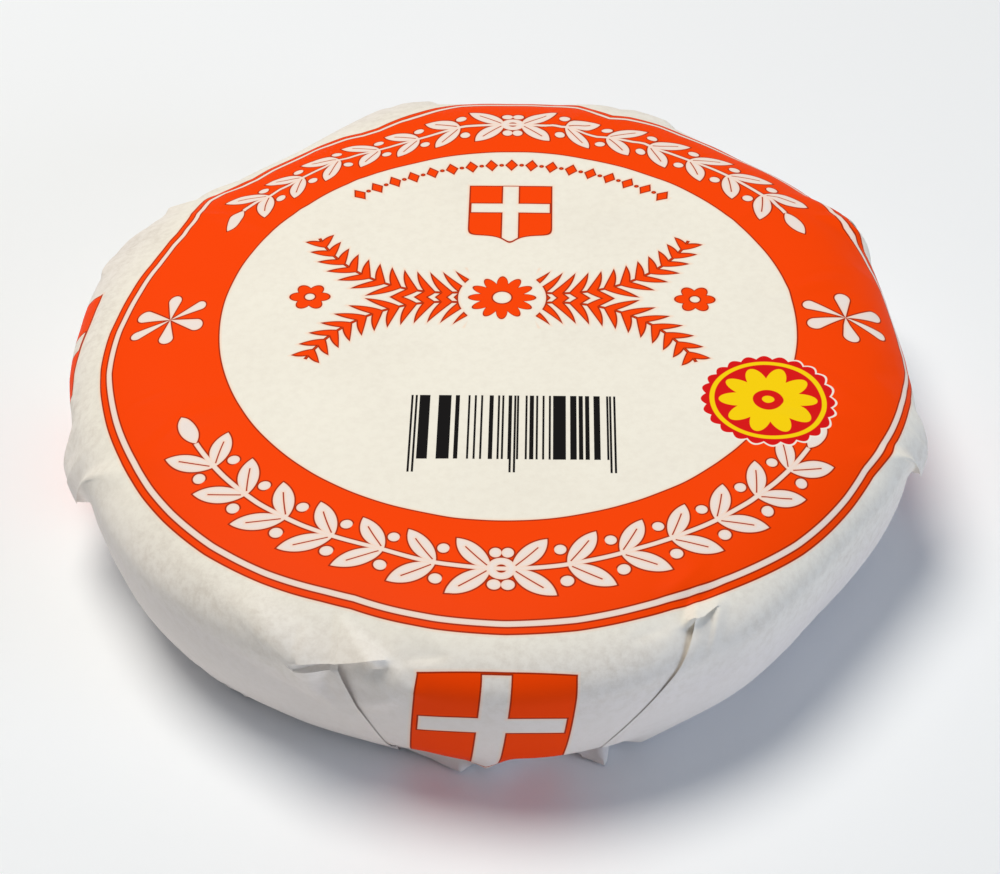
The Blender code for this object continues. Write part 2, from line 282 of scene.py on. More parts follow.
class PrintColours(bpy.types.PropertyGroup):
    """Colours of the paper and its inks"""

    paper: colour_prop("Paper", "White wrapping paper", srgb(248, 242, 228))
    # Painted shade: the paper on the wall is given a greyer, cooler colour, standing in for the wall
    # getting less of the light from overhead than the top.
    outer: colour_prop("Wall paper", "Paper on the wall, greyed by handling", srgb(239, 231, 226))
    stain: colour_prop("Stain", "Paper where it is a little damp from the rind", srgb(214, 203, 190))
    orange: colour_prop("Orange ink", "The print's main colour", srgb(255, 70, 0))
    keyline: colour_prop("Keyline", "Dark line where orange ink ends", srgb(118, 32, 8))
    halo: colour_prop("Halo", "Ink haze on the paper beside the orange", srgb(255, 214, 186))
    spared: colour_prop("Spared paper", "Paper left bare inside the orange ring", srgb(244, 226, 220))
    black: colour_prop("Black ink", "The stripes", srgb(22, 20, 20))
    red: colour_prop("Red ink", "The rosette's disc", srgb(222, 22, 22))
    yellow: colour_prop("Yellow ink", "The rosette's flower", srgb(255, 214, 10))


class StudioSettings(bpy.types.PropertyGroup):
    """The plain studio round the cheese"""

    lens: FloatProperty(name="Lens", description="Focal length", default=86.5, unit="CAMERA")
    floor_size: length_prop("Floor size", "Side of the square floor", 6000)
    floor_colour: colour_prop("Floor colour", "Pale floor", srgb(247, 248, 250))
    sky: FloatProperty(name="Sky", description="Strength of the even light all round", default=0.21)
    sky_colour: colour_prop("Sky colour", "Colour of the even light", (0.80, 0.89, 1.0, 1.0))
    key: FloatProperty(name="Key", description="Power of the light overhead", default=9.6, unit="POWER")
    key_colour: colour_prop("Key colour", "Colour of the broad light", (1.0, 0.97, 0.9, 1.0))
    fill: FloatProperty(name="Fill", description="Power of the cool light", default=4.2, unit="POWER")
    fill_colour: colour_prop("Fill colour", "Colour of the light on the right", (0.62, 0.76, 1.0, 1.0))


def ramp(low, high, x):
    """0 below low, 1 above high, and a straight rise between them."""
    return np.clip((x - low) / (high - low), 0, 1)


def smooth(low, high, x):
    """The same rise, eased at both ends by the cubic 3q^2 - 2q^3."""
    q = ramp(low, high, x)
    return q * q * (3 - 2 * q)


def soft_min(a, b, width):
    """The smaller of a and b, rounded where they are within width of each other by width h^2 / 4."""
    h = np.maximum(width - np.abs(a - b), 0) / width
    return np.minimum(a, b) - h * h * width / 4


def turned(angle):
    """The angle brought between -pi and pi."""
    return (angle + np.pi) % FULL_TURN - np.pi


def outline_radius(angle):
    """The wheel's radius at an angle: a closed cubic through each fold and each panel's middle."""
    knots = np.column_stack([RIMS, MIDDLES]).ravel()
    knots = np.concatenate([knots[-2:] - 360, knots, knots[:2] + 360])
    radii = np.array([[pleat.corner, pleat.middle] for pleat in PLEATS]).ravel()
    radii = np.pad(radii, 2, mode="wrap")
    slopes = np.gradient(radii, knots)
    degrees = (np.degrees(angle) - RIMS[0]) % 360 + RIMS[0]
    span = np.clip(np.searchsorted(knots, degrees, side="right") - 1, 0, len(knots) - 2)
    width = knots[span + 1] - knots[span]
    q = (degrees - knots[span]) / width
    start = (radii[span] * (1 + 2 * q) + slopes[span] * width * q) * (1 - q) ** 2
    end = (radii[span + 1] * (3 - 2 * q) - slopes[span + 1] * width * (1 - q)) * q ** 2
    return start + end


class Side(NamedTuple):
    """The wall's section: how far in from the outline and how high it is, by arc length from the rim."""

    inset: np.ndarray
    height: np.ndarray
    length: np.ndarray

    def at(self, arc):
        return np.interp(arc, self.length, self.inset), np.interp(arc, self.length, self.height)


def side_profile():
    """The wall's section: a quarter ellipse, a straight, and another quarter ellipse."""
    turn = np.linspace(0, np.pi / 2, ARC_STEPS)
    inset = np.concatenate([RIM_INSET * (1 - np.sin(turn)), FOOT_INSET * (1 - np.cos(turn))])
    height = np.concatenate([HEIGHT - RIM_DROP * (1 - np.cos(turn)), FOOT_RISE * (1 - np.sin(turn))])
    length = np.concatenate([[0], np.cumsum(np.hypot(np.diff(inset), np.diff(height)))])
    return Side(inset, height, length)


def wrap_rows(length):
    """Each row's place: its share of the top's radius, its arc length down the side, its share of the
    base's radius, and which lip step it is, or -1. Each is an array with one column."""
    blocks = (
        (np.linspace(0, 1, TOP_ROWS + 1)[1:], 0, 1, -1),
        (1, np.linspace(0, CREST_LINE, UPPER_ROWS + 1)[1:], 1, -1),
        (1, CREST_LINE + np.array(LIP)[:, 0], 1, np.arange(len(LIP))),
        (1, np.linspace(WALL_START, CREST_FOOT, WALL_ROWS), 1, -1),
        (1, np.linspace(CREST_FOOT, length, FOOT_ROWS + 1)[1:], 1, -1),
        (1, length, np.linspace(1, 0, BASE_ROWS + 1)[1:], -1),
    )
    return np.concatenate([np.stack(np.broadcast_arrays(*block)) for block in blocks], axis=1)[..., None]


def sheet_columns(lean, swirl, opened):
    """Spreads columns over each panel, closer together near its folds, with a panel that dives under its
    neighbour carried on past the edge, and the fold's own hidden columns on the way back. opened is how
    far the fold has opened at each row, from 0, where the sheet is whole, to 1. Gives each column's angle
    at each row, its panel, the pleat it is near, its layer, from 0 on the sheet that dives under that
    pleat to 1 on the sheet on top, and each pleat's edge at each row.
    """
    edges = [np.radians(p.rim - p.over * (p.lean * lean + p.swirl * swirl)) for p in PLEATS]
    edges.append(edges[0] + FULL_TURN)

    def under(pleat, step):
        inside = DIVE[step] * opened - DIVE_GAP[step] * (1 - opened)
        return pleat.over * inside / pleat.corner

    angles, panels, near, layers = [], [], [], []
    for panel, first in enumerate(PLEATS):
        following = (panel + 1) % len(PLEATS)
        last = PLEATS[following]
        low = edges[panel] + (under(first, 0) if first.over < 0 else 0)
        high = edges[panel + 1] + (under(last, 0) if last.over > 0 else 0)
        width = np.radians((last.rim - first.rim) % 360) * first.corner
        even = np.linspace(0, 1, round(width / COLUMN_PITCH))
        share = even * (1 - EDGE_CROWDING) + (1 - np.cos(np.pi * even)) / 2 * EDGE_CROWDING
        before = first.ridge if first.over > 0 else 2 * first.tip + TIP_PAST
        after = last.ridge if last.over < 0 else 2 * last.tip + TIP_PAST
        late = share > before / (before + after)
        angles.append(low + (high - low) * share)
        panels.append(np.full(len(share), panel))
        near.append(np.where(late, following, panel))
        layers.append(np.where(late, last.over < 0, first.over > 0).astype(float))
        for step in range(len(FOLD_LAYERS))[::last.over]:
            angles.append(edges[panel + 1] + under(last, step + 1))
            panels.append([panel if (last.over > 0) == (FOLD_LAYERS[step] < 0.5) else following])
            near.append([following])
            layers.append([FOLD_LAYERS[step]])
    join = np.concatenate
    return join(angles, axis=1), join(panels), join(near), join(layers), edges


def crest(pleat, past, nominal, lip_step, side, held):
    """Where a pleat's crest puts the sheet: the arc length of each point, how far it stands out, its
    shift in and up, and how far it is past the crest line.

    past is the distance from the folded edge, over the upper sheet if positive. The crest line hangs at
    the pleat's drop a little way along the upper panel, and eases to the common line at the ridge's end
    and past the tip. Above it the paper is pulled towards a chord of the rounded rim, and stands out in
    proportion to the arc length: a facet, bounded by a ridge from the chord's start to the tip, with a
    shallow valley past it. A crisp fold has a notch down to its edge, and its paper turns sharply back
    under below the line, ever more softly along the ridge. A soft fold is soft all along.
    """
    keel = KEEL_PLACE * pleat.ridge
    places = [-2 * pleat.tip - TIP_PAST, -pleat.tip, 0, keel]
    shares = [0, 1 - (TIP_SHARE if pleat.crisp else SOFT_TIP_SHARE), 1 - KEEL_SHARE, 1]
    hung = np.interp(past, places, shares) * (1 - ramp(keel, pleat.ridge, past)) ** 2
    line = CREST_LINE + (pleat.drop - CREST_LINE) * hung
    hat = np.interp(nominal, [0, CREST_LINE, CREST_FOOT], [0, 1, 0])
    placed = nominal + (line - CREST_LINE) * hat
    facet = np.clip((nominal - pleat.top) / (CREST_LINE - pleat.top), 0, None)
    grown = np.minimum(facet, 1)
    ridge_at = RIDGE_START - (RIDGE_START + pleat.tip) * grown
    notch_at = RIDGE_START - (RIDGE_START - NOTCH_PLACE) * grown
    fall = TIP_FALL + pleat.push * (CRISP_FALL if pleat.crisp else SOFT_FALL)
    reach = (ramp if pleat.crisp else smooth)(ridge_at - fall, ridge_at, past)
    along = ramp(0, pleat.ridge, past)
    notch = ramp(ridge_at, np.maximum(notch_at, ridge_at + NOTCH_LEAST), past)
    notch = notch - ramp(notch_at, notch_at + NOTCH_WIDTH, past)
    notch = notch * (min(pleat.tip / NOTCH_TIP, 1) if pleat.crisp else 0)
    beside = ramp(ridge_at - fall - VALLEY_WIDTH, ridge_at - fall, past)
    lateral = reach * (1 - along) - NOTCH * notch - VALLEY * 4 * beside * (1 - beside)
    softness = smooth(pleat.crisp, pleat.crisp + CRISP_END, along) if pleat.crisp else 1.0
    below = 1 - (placed - line) / (CREST_SHARP + CREST_SOFT * softness)
    shape = np.maximum(0, soft_min(facet, below, CRISP_ROUNDING + SOFT_ROUNDING * softness))
    amount = ramp(held, held + LIP_GROWTH, pleat.push * lateral) * (1 - softness)
    amount = amount * ramp(-pleat.tip, LIP_END - pleat.tip, past)
    for index, (down, hooked, share) in enumerate(LIP):
        here = lip_step == index
        placed = np.where(here, line + down * (1 - amount) + hooked * amount, placed)
        shape = np.where(here, shape * (1 - amount) + share * amount, shape)
    passed = smooth(0, 1, (placed - line) / CREST_SHARP)
    flatness = CHORD_SHARE * reach * (1 - smooth(*CHORD_FADE, along)) * ((facet > 0) & (facet < 1))
    rounded, started, ended = side.at(placed), side.at(line * pleat.top / CREST_LINE), side.at(line)
    shift = [(a + (b - a) * facet - here) * flatness for a, b, here in zip(started, ended, rounded)]
    return placed, pleat.push * lateral * shape, shift, passed


def fold_lift(below_crest, past, size):
    """How far the upper sheet stands off beside its edge: a square fall over the layer's spread, rolled
    in a little at the very edge, from its full size at the crest to a share of it lower down."""
    near = np.maximum(0, 1 - np.abs(past) / LAYER_SPREAD) ** 2
    rolled = 1 - EDGE_ROLLED * np.maximum(0, 1 - np.abs(past) / EDGE_ROLL) ** 2
    return size * near * rolled * np.interp(below_crest, LIFT_BELOW_CREST, LIFT_SHARES)


def fold_dip(below_crest, past, size):
    """How far the lower sheet sinks in beside the upper one's edge: a square fall over the dip's spread,
    deepest just under the crest."""
    near = np.maximum(0, 1 - np.abs(past) / DIP_SPREAD) ** 2
    return size * near * np.interp(below_crest, DIP_BELOW_CREST, DIP_SHARES)


# Each straight ridge's middle, by its angle in degrees and its distance below the rim's start, its
# direction in degrees from level, its half length, half width and height.
CREASES = (
    (207, 2.0, 62, 9, 3.0, 0.35),
    (214, 6.0, -40, 8, 3.5, 0.30),
    (148, 3.0, 75, 10, 2.5, 0.35),
    (136, 1.0, -70, 8, 2.5, 0.30),
    (122, 3.0, 82, 9, 3.0, 0.35),
    (260.3, 18.4, 40, 2.2, 1.0, 0.45),
    (244.6, 17.2, 21, 9, 3.0, 0.90),
    (258.0, 24.5, -38, 5, 2.2, 0.60),
    (262.0, 20.5, 20, 3, 1.2, 0.40),
    (251.5, 27.0, 60, 4, 1.8, 0.35),
    (298.6, 12.6, -2, 5, 2.0, -0.90),
    (297.5, 9.0, -8, 6, 2.2, 0.40),
    (318, 4.0, -62, 9, 3.5, 0.30),
    (338, 1.0, 80, 9, 3.0, 0.45),
    (347, 3.0, -60, 8, 3.0, 0.35),
    (12, 3.0, 66, 8, 3.0, 0.35),
    (36, 3.0, 82, 8, 2.5, 0.35),
    (63, 2.0, -78, 7, 2.5, 0.30),
    (80, 3.0, 75, 8, 2.5, 0.30),
)
SMALL_ASIDE = (-10, 14)
SMALL_DOWN = (2, 36)
SMALL_TURN = (25, 155)
SMALL_SHARE = (0.35, 1)
SMALL_HALF = (2.5, 7)
SMALL_WIDTH = (0.8, 2.4)


def crease_relief(angle, down, radius, shape):
    """Named creases and seeded small ones: each is a ridge with flat sides, 1 - |across| / width, that
    fades out towards its ends as a cosine."""
    rng = np.random.default_rng(shape.seed)
    creases = [*CREASES]
    for pleat in PLEATS:
        for _ in range(shape.crease_count):
            place = pleat.rim - pleat.over * rng.uniform(*SMALL_ASIDE)
            below, slant = rng.uniform(*SMALL_DOWN), rng.uniform(*SMALL_TURN)
            height = rng.uniform(*SMALL_SHARE) * shape.crease_height / MM * rng.choice([-1, 1])
            half, width = rng.uniform(*SMALL_HALF), rng.uniform(*SMALL_WIDTH)
            creases.append((place, below, slant, half, width, height))
    total = np.zeros_like(angle)
    for place, below, slant, half, width, height in creases:
        cos, sin = math.cos(math.radians(slant)), math.sin(math.radians(slant))
        side = turned(angle - math.radians(place)) * radius
        fall = down - below
        along = np.clip((side * cos + fall * sin) / half, -1, 1)
        across = np.abs((fall * cos - side * sin) / width)
        total += height * np.cos(along * np.pi / 2) * np.maximum(0, 1 - across)
    return total


def slack_relief(angle, down, size, seed):
    """Wide, soft waves in the paper: a sum of sines round the wheel and down it, with seeded phases."""
    rng = np.random.default_rng(seed)
    total = np.zeros_like(angle)
    for turns, pitch, share in WAVES:
        phase = rng.uniform(0, FULL_TURN, 2)
        wander = np.sin(angle * (turns // 3) + phase[1])
        total += share * np.sin(angle * turns + down / pitch * np.pi + phase[0] + wander)
    return total * size


def foot_tips(angle, radius):
    """How far the folded paper shows past the wall's foot: a lopsided triangle at each place."""
    total = np.zeros_like(angle)
    for degrees, reach, before, after in FOOT_TIPS:
        away = turned(angle - math.radians(degrees)) * radius
        total += reach * np.maximum(0, 1 - np.maximum(-away / before, away / after))
    return total


def crimps(angle, seed):
    """A scalloped line round the foot, from -1 to 1: cosines between crests at uneven gaps."""
    rng = np.random.default_rng(seed)
    gaps = rng.uniform(*CRIMP_GAPS, CRIMP_COUNT)
    crests = np.concatenate([[0], np.cumsum(gaps)]) / gaps.sum() * FULL_TURN
    heights = rng.uniform(*CRIMP_SIZES, CRIMP_COUNT)
    around = angle % FULL_TURN
    count = np.interp(around, crests, np.arange(CRIMP_COUNT + 1))
    size = np.interp(around, crests, np.append(heights, heights[0]))
    return size * (2 * np.abs(np.cos(np.pi * count)) ** CRIMP_POWER - 1)


def level_way(angle):
    """The level unit vector at an angle."""
    return np.stack([np.cos(angle), np.sin(angle)], axis=-1)


def pulled_place(flat, angle, centre):
    """The flat place from the print's centre, moved outwards where the wrap has drawn the print's rim over
    the edge: by the pull at that angle, eased in on the top and kept in part on the wall. Its third value
    is the share that leads back to the place before that."""
    place = flat - centre
    reach = np.maximum(np.hypot(place[..., 0], place[..., 1]), 1e-6)
    degrees, amounts = np.array(PULLS).T
    pull = np.interp(np.degrees(angle), degrees, amounts, period=360)
    share = smooth(*PULL_STARTS, reach) - (1 - PULL_KEPT) * smooth(*PULL_ENDS, reach)
    stretch = (1 + pull * share / reach)[..., None]
    return np.concatenate([place * stretch, 1 / stretch], axis=-1)


def fold_sheet(pleat, past, nominal, base_part, lip_step, side, shape, upper):
    """One of a fold's two sheets, the upper one or the one that dives under it: the arc length of each
    point, how far it stands out, and its shift in and up, as one array."""
    opening = 1 if pleat.crisp else SOFT_OPENING
    lift = shape.fold_lift / MM * opening
    held = fold_lift(nominal - CREST_LINE, past, lift) if upper else 0
    arc, out, shift, passed = crest(pleat, past, nominal, lip_step, side, held)
    shown = passed * (1 - base_part)
    if upper:
        out = out + fold_lift(arc - pleat.drop, past, lift) * shown
    else:
        layer = fold_lift(LIFT_BELOW_CREST[-1], past, shape.base_layer / MM / LIFT_SHARES[-1])
        dip = fold_dip(arc - pleat.drop, past, shape.fold_dip / MM * opening)
        out = out - dip * shown - layer * base_part
    return np.stack([arc, out, *shift])


def wrap_sheet(shape, centre):
    """The sheet's points, row by row, and each point's flat place from the print's centre.

    A point starts on the plain form: the flat top, the side's section at its arc length, or the base. It
    then moves out along that form's normal by the crest, the lifted fold, the creases and the waves.
    """
    side = side_profile()
    end = side.length[-1]
    top_share, arc, base_share, lip_step = wrap_rows(end)
    lean = smooth(*LEANING, arc / end)
    opened = smooth(CREST_LINE, CREST_LINE + OPENING, arc)
    angle, panels, near, layers, edges = sheet_columns(lean, 1 - base_share, opened)
    radius = outline_radius(angle)
    nominal = np.repeat(arc, angle.shape[1], axis=1)
    on_side = (nominal > 0) & (base_share == 1)
    base_part = smooth(end * BASE_FROM, end, nominal)

    folded = np.zeros((4, *angle.shape))
    for index, pleat in enumerate(PLEATS):
        mine = np.flatnonzero(near == index)
        layer = layers[mine]
        past = turned(angle[:, mine] - edges[index]) * radius[:, mine] * pleat.over
        rest = nominal[:, mine], base_part[:, mine], lip_step, side, shape
        low = fold_sheet(pleat, np.where(layer == 0, np.minimum(past, 0), 0), *rest, upper=False)
        high = fold_sheet(pleat, np.where(layer == 1, np.maximum(past, 0), 0), *rest, upper=True)
        folded[:, :, mine] = low * (1 - layer) + high * layer
    placed, out, shift_in, shift_up = folded
    placed = np.where(on_side, placed, nominal)
    out *= smooth(0, BASE_FADE, base_share) * (nominal > 0)

    flat_radius = radius - RIM_INSET
    down = placed - (1 - top_share) * flat_radius + (1 - base_share) * radius
    under = base_share < 1
    creases = crease_relief(angle, down, radius, shape) * smooth(*CREASED, down)
    waves = slack_relief(angle, down, shape.slack / MM, shape.seed) * smooth(*WAVED, down)
    loose = np.where(under, -np.abs(creases + waves), creases + waves)
    out = out + loose * (1 - base_part * BASE_CALM)

    step = end / ARC_STEPS / NORMAL_STEPS
    (in_after, up_after), (in_before, up_before) = side.at(placed + step), side.at(placed - step)
    slope = np.maximum(np.hypot(in_after - in_before, up_after - up_before), 1e-9)
    level_part = (nominal == 0) | under
    out_way = np.where(level_part, 0, (up_before - up_after) / slope)
    up_way = np.where(under, -1, np.where(level_part, 1, (in_before - in_after) / slope))

    base_radius = FLAT_MIDDLE_RADIUS + (radius - FOOT_INSET - FLAT_MIDDLE_RADIUS) * base_share
    inset, height = side.at(placed)
    reach = np.where(under, base_radius, (radius - inset - shift_in * on_side) * top_share)
    level = np.where(under, 0, height + shift_up * on_side)
    level = level - CROWN * top_share ** 2 * level / HEIGHT
    at_foot = np.interp(nominal, [FOOT_CREASE, FOOT_EDGE, end], [0, 1, 0]) * on_side
    degrees = np.degrees(angle) % 360
    cut = np.interp(degrees, *np.array(FOOT_CUTS).T)
    cut = cut * np.interp(nominal, CUT_ROWS, CUT_SHARES) * base_share ** 2
    near_foot = smooth(*CRIMPED, nominal / end) * base_share ** 2
    near_foot = near_foot * smooth(*CALM_ENDS, np.abs(degrees - CALM_FOOT))
    crimped = crimps(angle, shape.seed) * shape.crimp / MM * near_foot
    reach = reach + out * out_way + foot_tips(angle, radius) * at_foot + crimped - cut
    level = np.maximum(0, level + out * up_way)
    across = level_way(angle)
    points = np.concatenate([across * reach[..., None] + WHEEL_CENTRE, level[..., None]], axis=-1)

    rim_part = np.clip(placed, 0, RIM_WRAP)
    onward = placed - rim_part + (1 - base_share) * (radius - FOOT_INSET)
    flat = across * (flat_radius * top_share + rim_part)[..., None]
    flat += onward[..., None] * level_way(np.radians(MIDDLES)[panels])
    return points, pulled_place(flat, angle, centre)


def closed_faces(rows, columns):
    """Quads between neighbouring rows, and a fan of triangles round each end's middle point."""
    index = np.arange(rows * columns).reshape(rows, columns)
    after = np.roll(index, -1, axis=1)
    quads = np.stack([index[:-1], index[1:], after[1:], after[:-1]], axis=-1).reshape(-1, 4)
    top = np.stack([np.full(columns, index.size), index[0], after[0]], axis=-1)
    base = np.stack([np.full(columns, index.size + 1), after[-1], index[-1]], axis=-1)
    return quads.tolist() + top.tolist() + base.tolist()


def wrap_mesh(points, places):
    """The closed mesh of the sheet, in metres, with its flat-paper place in millimetres as an attribute.
    The sheet ends at a point in the middle of its first row and of its last."""
    rows, columns = points.shape[:2]
    values = np.concatenate([points, places], axis=-1)
    ends = [(ring.min(axis=0) + ring.max(axis=0)) / 2 for ring in (values[0], values[-1])]
    values = np.concatenate([values.reshape(-1, 6), ends])
    mesh = bpy.data.meshes.new("paper_wrap")
    mesh.from_pydata((values[:, :3] * MM).tolist(), [], closed_faces(rows, columns))
    attribute = mesh.attributes.new("flat_place", "FLOAT_VECTOR", "POINT")
    attribute.data.foreach_set("vector", values[:, 3:].astype(np.float32).ravel())
    mesh.shade_smooth()
    mesh.set_sharp_from_angle(angle=math.radians(SHARP_ANGLE))
    mesh.update()
    return mesh


INK_EDGE = 0.10
KEYLINE = 0.12
KEYLINE_INSIDE = 0.12
KEYLINE_STRENGTH = 0.75
HALO = 0.5
HALO_STRENGTH = 0.65
SPARED_STRENGTH = 0.7

FLOWER_X = -0.85
FLOWER_PLACE = 55.85
FLOWER_Y = 1.0
FLOWER_SLOPE = 0.0244
FLOWER_SHEAR = 0.1
FLOWER_LEAN = 0.06
PETALS = ((90, 6.2, 1.3), (27, 7.5, 1.05), (-19.5, 7.0, 1.35))

GARLAND_RADIUS = 56.2
GARLAND_PITCH = 8.1
GARLAND_END = 56.4
LEAF_ROOT = 1.5
LEAF_TURN = 43
LEAF = (8.0, 3.2)
LAST_LEAF = (6.4, 2.88)
VEIN_HALF = 0.1
VEIN_FROM = 0.8
VEIN_TO = 5.76
STEM_HALF = 0.4
BERRY = 0.95
BERRY_ALONG = 0.95
BERRY_ASIDE = 3.1
KNOT = 2.1
KNOT_HOLE = 0.8

LOZENGE_RADIUS = 42.6
LOZENGE_PITCH = 3.5
LOZENGE_SPREAD = 39.3
LOZENGE_WIDTH = 1.15
LOZENGE_HEIGHT = 1.75
LOZENGE_SLANT = 0.6
LOZENGE_DOT = 0.42

SHIELD_Y = 28.4
SHIELD_HALF = 7.15
SHIELD_TOP = 8.05
SHIELD_FOOT = 6.0
SHIELD_POINT = 2.2
SHIELD_POINT_WIDTH = 1.5
SHIELD_ROUNDING = 2.4
SHIELD_RIM = 0.45
SHIELD_TOP_RIM = 0.2
SHIELD_UPRIGHT = 1.35
SHIELD_LEVEL = 1.2555
SHIELD_LEVEL_Y = 1.6

SPRAY_X = -1.0
SPRAY_Y = 5.5
BRANCH_X = 9.0
BRANCH_RADIUS = 24.0
BRANCH_RISE = 25.2
BRANCH_PITCH = 2.9
BRANCH_FROM = -4.0
BRANCH_LENGTH = 28.0
BRANCH_STEM = 0.28
BRANCH_LEAF = 5.6
BRANCH_TIP_LEAF = 2.6
BRANCH_LEAF_HALF = 1.044
BRANCH_LEAF_SLANT = -0.75
BRANCH_LEAF_EDGE = 0.8
DAISY = (12, 1.9, 5.6)
DAISY_EYE = 1.5
DAISY_GAP = 7.2
END_FLOWER = (6, 1.1, 3.4)
END_FLOWER_X = 31.5
END_EYE = 0.8
END_GAP = 4.3

STRIPES_X = 1.2
STRIPES_Y = -26.1
STRIPES_HALF = 15.9
STRIPES_HEIGHT = 7.3
STRIPES_LONG = 2.9
STRIPE_MODULE = 0.33
STRIPES_SEED = 41.5
STRIPES_INKED = 0.48
GUARD_HALF = 0.5
GUARD_INNER = 0.17

SEAL_X = 40.9
SEAL_Y = -19.1
SEAL = (24, 0.75, 10.5)
SEAL_OUTLINE = 0.35
SEAL_LINE = 8.75
SEAL_LINE_HALF = 0.38
SEAL_FLOWER = (10, 2.6, 7.7)
SEAL_MIDDLE = 2.4
SEAL_DOT = 0.96

FLAG_ASIDE = 0.3
FLAG_UPRIGHT = 2.1
FLAG_LEVEL = 1.7
FLAG_LEVEL_DOWN = 9.8
FLAG_RIM = 0.5
FLAG_SIDE_RIM = 1.0

RING_MIDDLE = 57.2
RING_HALF = 10.2
RING_EDGE = 1.0
MOTTLE_FROM = 64
MOTTLE_MOST = 74
MOTTLE_TO = 84
# Flat reach over which the paper turns into the wall's painted shade colour.
SHADED_WALL = (67, 80)

CLOUDS = (42, 3, 0.55)
CLOUD_CONTRAST = (2.2, -0.85)
SPECKS = (700, 3, 0.7)
SPECK_CONTRAST = (3.4, -1.35)
STAIN_STRENGTH = 0.14
MOTTLE_STRENGTH = 0.6
MOTTLE_UNCLOUDED = 0.25
GRAIN = (1900, 2)
GRAIN_HEIGHT = 0.12
CRUMPLES = (55, 3, 0.5, "RIDGED_MULTIFRACTAL")
CRUMPLE_HEIGHT = 0.5


def arithmetic(operation, swapped=False):
    """A method that adds a Math node of this operation, with the second value first if swapped."""

    def method(self, other):
        return compute(operation, *((other, self) if swapped else (self, other)))

    return method


class Number:
    """A shader socket that holds a number. Arithmetic on it adds Math nodes to its sheet."""

    def __init__(self, sheet, socket):
        self.sheet = sheet
        self.socket = socket

    __add__ = __radd__ = arithmetic("ADD")
    __sub__ = arithmetic("SUBTRACT")
    __rsub__ = arithmetic("SUBTRACT", swapped=True)
    __mul__ = __rmul__ = arithmetic("MULTIPLY")
    __truediv__ = arithmetic("DIVIDE")
    __rtruediv__ = arithmetic("DIVIDE", swapped=True)
    __lt__ = arithmetic("LESS_THAN")
    __gt__ = arithmetic("GREATER_THAN")

    def __neg__(self):
        return self * -1

    def __abs__(self):
        return compute("ABSOLUTE", self)


class Sheet:
    """A material's node tree."""

    def __init__(self, tree):
        self.tree = tree

    def node(self, kind, settings, inputs):
        """A new node with these settings, each input linked to a socket or set to a value."""
        made = self.tree.nodes.new(kind)
        for name, value in settings.items():
            setattr(made, name, value)
        for key, value in inputs.items():
            source = value.socket if isinstance(value, Number) else value
            if isinstance(source, bpy.types.NodeSocket):
                self.tree.links.new(source, made.inputs[key])
            else:
                made.inputs[key].default_value = source
        return made


def compute(operation, *values, clamp=False):
    """The number that a Math node makes of these values, at least one of which is a Number."""
    sheet = next(value.sheet for value in values if isinstance(value, Number))
    settings = {"operation": operation, "use_clamp": clamp}
    return Number(sheet, sheet.node("ShaderNodeMath", settings, dict(enumerate(values))).outputs[0])


def scaled(value, factor, offset, clamp=False):
    """value * factor + offset."""
    return compute("MULTIPLY_ADD", value, factor, offset, clamp=clamp)


def least(*values):
    """The smallest of the values, which joins shapes by their distances."""
    return reduce(partial(compute, "MINIMUM"), values)


def most(*values):
    """The largest of the values, which keeps what shapes share."""
    return reduce(partial(compute, "MAXIMUM"), values)


def span(a, b):
    """The length of the vector (a, b): the root of a a + b b."""
    return compute("SQRT", scaled(a, a, b * b))


def rise(low, high, value):
    """0 at low, 1 at high, and a straight line between them, clamped."""
    return scaled(value, 1 / (high - low), low / (low - high), clamp=True)


def inked(distance, edge=INK_EDGE):
    """1 inside a shape and 0 outside, with an edge this wide: 0.5 - distance / edge, clamped."""
    return scaled(distance, -1 / edge, 0.5, clamp=True)


def mixed(share, under, over):
    """The colour at this share of the way from under to over."""
    colours = {0: share, 6: under, 7: over}
    return share.sheet.node("ShaderNodeMix", {"data_type": "RGBA"}, colours).outputs[2]


def from_axes(x, y, turn):
    """x and y seen from axes turned by this angle: x cos + y sin, and y cos - x sin."""
    cos, sin = math.cos(turn), math.sin(turn)
    return scaled(y, sin, x * cos), scaled(y, cos, x * -sin)


def noise(sheet, place, scale, detail, roughness=0.5, kind="FBM"):
    """A Noise texture's value at each place."""
    inputs = {"Vector": place, "Scale": scale, "Detail": detail, "Roughness": roughness}
    made = sheet.node("ShaderNodeTexNoise", {"noise_type": kind}, inputs)
    return Number(sheet, made.outputs["Fac"])


def teardrops(x, y, degrees, length, bulb):
    """Distance to two teardrops that meet tip to tip: the nearer of a circle and of the straight sides
    that touch it and run to the meeting point."""
    along, across = map(abs, from_axes(x, y, math.radians(degrees)))
    centre = length - bulb
    lean = math.asin(bulb / centre)
    place, side = from_axes(along, across, lean)
    circle = span(along - centre, across) - bulb
    return circle + (place < centre * math.cos(lean)) * (side - circle)


def leaf(along, across, length, width):
    """Distance to a pointed leaf that starts at 0: where two equal circles cross each other."""
    half, side = length / 2, width / 2
    radius = (half * half + side * side) / (2 * side)
    return span(along - half, abs(across) + (radius - side)) - radius


def petal_wheel(x, y, count, depth, radius):
    """Distance to a round flower: a circle whose radius swings by depth, count times round."""
    swing = abs(compute("COSINE", compute("ARCTAN2", y, x) * (count / 2)))
    return span(x, y) - (swing * depth + (radius - depth))


